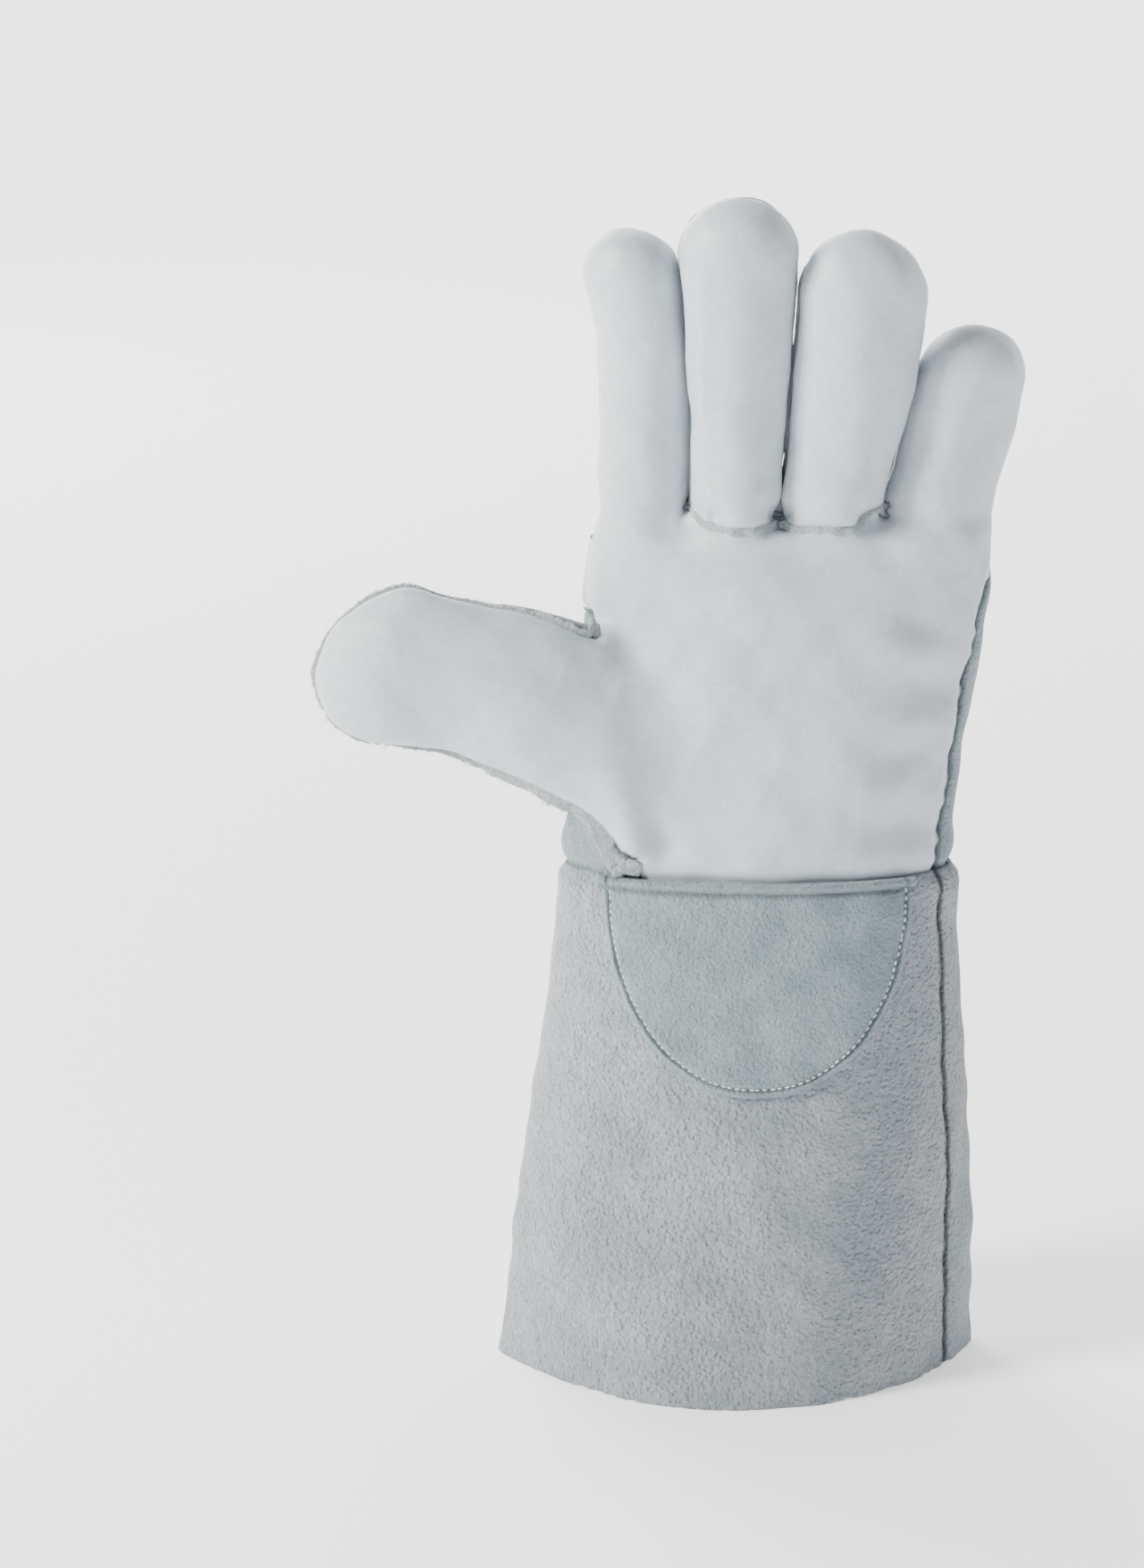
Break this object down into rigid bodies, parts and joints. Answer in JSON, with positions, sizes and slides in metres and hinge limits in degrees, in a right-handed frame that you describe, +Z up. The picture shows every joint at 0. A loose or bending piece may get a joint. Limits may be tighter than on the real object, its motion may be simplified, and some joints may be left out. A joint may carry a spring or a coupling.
{
  "type": "leather welding gauntlet",
  "caption": "Left-hand welding glove of pale grain and suede leather with a long flared cuff, standing open on its cuff.",
  "frame": {"origin": "centre of the cuff's mouth, on the surface that the rim stands on", "axes": "+Z up along the glove towards the fingertips, -Y out of the palm, -X towards the thumb, +X towards the little finger"},
  "size_m": [0.2044, 0.1028, 0.3479],
  "materials": {
    "grain_leather": "smooth pale grey grain leather, faint grain, satin",
    "hand_suede": "soft grey-green suede split, matt nap",
    "cuff_split": "coarser pale grey split leather, matt nap",
    "raw_edge": "raw cut edge of suede, fuzzy, matt"
  },
  "bodies": {
    "root": {"middle_front": "grain_leather", "ring_front": "grain_leather", "fourchette_index_middle": "grain_leather", "fourchette_middle_ring": "grain_leather", "fourchette_ring_little": "grain_leather", "thumb_back": "hand_suede", "palm": "grain_leather", "back": "hand_suede", "thumb_welt": "raw_edge", "middle_base_welt": "raw_edge", "ring_base_welt": "raw_edge", "cuff_front": "cuff_split", "cuff_back": "cuff_split", "wrist_patch": "hand_suede"}
  },
  "joints": []
}
